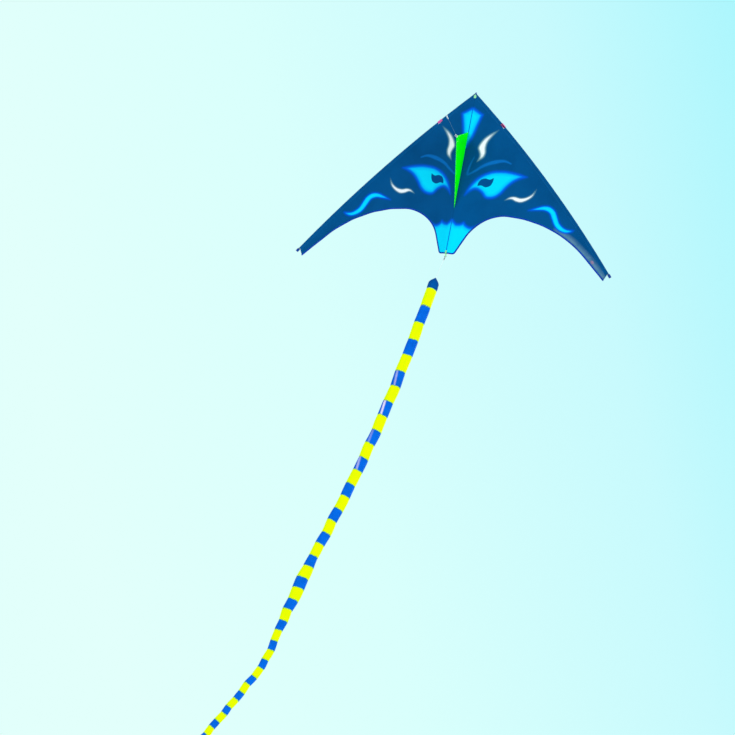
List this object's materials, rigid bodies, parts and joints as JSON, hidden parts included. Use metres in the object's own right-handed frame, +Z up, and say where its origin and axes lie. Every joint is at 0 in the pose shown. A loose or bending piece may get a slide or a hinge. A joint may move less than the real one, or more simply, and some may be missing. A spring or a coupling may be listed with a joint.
{
  "type": "delta kite",
  "caption": "Delta kite with bowed leading-edge spars, a triangular keel, a clip-on spreader and a long banded tube tail hung from a swivel.",
  "frame": {"origin": "centre of the tow eyelet in the keel's corner, where the kite is held", "axes": "+Z up, as the kite flies; +X to the kite's right hand as its face is seen; +Y back, away from the flyer"},
  "size_m": [1.607, 0.6329, 3.8046],
  "materials": {
    "sail_cloth": "printed ripstop, satin",
    "binding_tape": "folded tape",
    "keel_cloth": "ripstop, satin",
    "yellow_cloth": "ripstop, satin",
    "blue_cloth": "ripstop, satin",
    "tail_head_cloth": "ripstop, satin",
    "white_line": "braided line",
    "carbon_rod": "pultruded fibre rod",
    "pink_vinyl": "soft moulded vinyl",
    "blue_plastic": "moulded plastic",
    "pale_green_plastic": "moulded plastic",
    "white_plastic": "moulded plastic",
    "dark_steel": "bent wire"
  },
  "bodies": {
    "centre": {"spine_rod": "carbon_rod", "spine_sleeve": "sail_cloth", "centre_strip": "sail_cloth", "nose_cap": "blue_plastic", "nose_patch": "pale_green_plastic", "tail_cap": "pale_green_plastic"},
    "left_wing": {"left_sail": "sail_cloth", "left_sleeve_upper": "sail_cloth", "left_sleeve_lower": "sail_cloth", "left_spar": "carbon_rod", "left_spar_cap": "blue_plastic", "left_tip_pocket": "sail_cloth", "left_binding": "binding_tape", "left_tee": "pink_vinyl", "left_tee_pin": "white_plastic"},
    "right_wing": {"right_sail": "sail_cloth", "right_sleeve_upper": "sail_cloth", "right_sleeve_lower": "sail_cloth", "right_spar": "carbon_rod", "right_spar_cap": "blue_plastic", "right_tip_pocket": "sail_cloth", "right_binding": "binding_tape"},
    "spreader": {"spreader_rod": "carbon_rod", "spreader_arm": "pink_vinyl", "spreader_clip": "pink_vinyl"},
    "keel": {"keel_panel": "keel_cloth", "keel_patch": "keel_cloth", "tow_eyelet": "white_plastic"},
    "leader": {"tow_ring": "white_plastic", "ring_knot": "white_line", "leader_line": "white_line", "leader_knot": "white_line", "line_swivel_barrel": "white_plastic"},
    "line_eye": {"line_swivel_eye": "white_plastic"},
    "tail_link": {"tail_ring": "dark_steel"},
    "tail_swivel": {"tail_swivel_barrel": "dark_steel"},
    "tail": {"tail_swivel_eye": "dark_steel", "tail_line_knot": "white_line", "tail_line": "white_line", "tail_head": "tail_head_cloth", "tail_yellow_bands": "yellow_cloth", "tail_blue_bands": "blue_cloth", "tail_end_hem": "tail_head_cloth"}
  },
  "joints": [
    {"name": "left_wing_fold", "type": "hinge", "parent": "centre", "child": "left_wing", "pos_m": [-0.007, 0.17871, -0.0648], "axis": [0, 0.4617, -0.887], "range_deg": [0, 78]},
    {"name": "right_wing_fold", "type": "hinge", "parent": "centre", "child": "right_wing", "pos_m": [0.007, 0.17871, -0.0648], "axis": [0, -0.4617, 0.887], "range_deg": [0, 78]},
    {"name": "spreader_release", "type": "hinge", "parent": "left_wing", "child": "spreader", "pos_m": [-0.14634, 0.0845, 0.17251], "axis": [0, -0.4617, 0.887], "range_deg": [0, 156]},
    {"name": "keel_swing", "type": "hinge", "parent": "centre", "child": "keel", "pos_m": [0, 0.17818, -0.06508], "axis": [0, -0.4617, 0.887], "range_deg": [-75, 75]},
    {"name": "leader_swing", "type": "hinge", "parent": "keel", "child": "leader", "pos_m": [0, 0, 0], "axis": [1, 0, 0], "range_deg": [-60, 70]},
    {"name": "line_eye_spin", "type": "hinge", "parent": "leader", "child": "line_eye", "pos_m": [0, -0.17041, -0.03312], "axis": [0, -0.9816, -0.1908], "continuous": true},
    {"name": "tail_swing", "type": "hinge", "parent": "centre", "child": "tail_link", "pos_m": [0, 0.36854, -0.42145], "axis": [1, 0, 0], "range_deg": [-60, 60]},
    {"name": "tail_sway", "type": "hinge", "parent": "tail_link", "child": "tail_swivel", "pos_m": [0, 0.36854, -0.42605], "axis": [0, 1, 0], "range_deg": [-45, 45]},
    {"name": "tail_spin", "type": "hinge", "parent": "tail_swivel", "child": "tail", "pos_m": [0, 0.36854, -0.44], "axis": [0, 0, 1], "continuous": true}
  ],
  "couplings": [
    {"joint": "right_wing_fold", "follows": "left_wing_fold", "ratio": 1},
    {"joint": "spreader_release", "follows": "left_wing_fold", "ratio": 2}
  ]
}
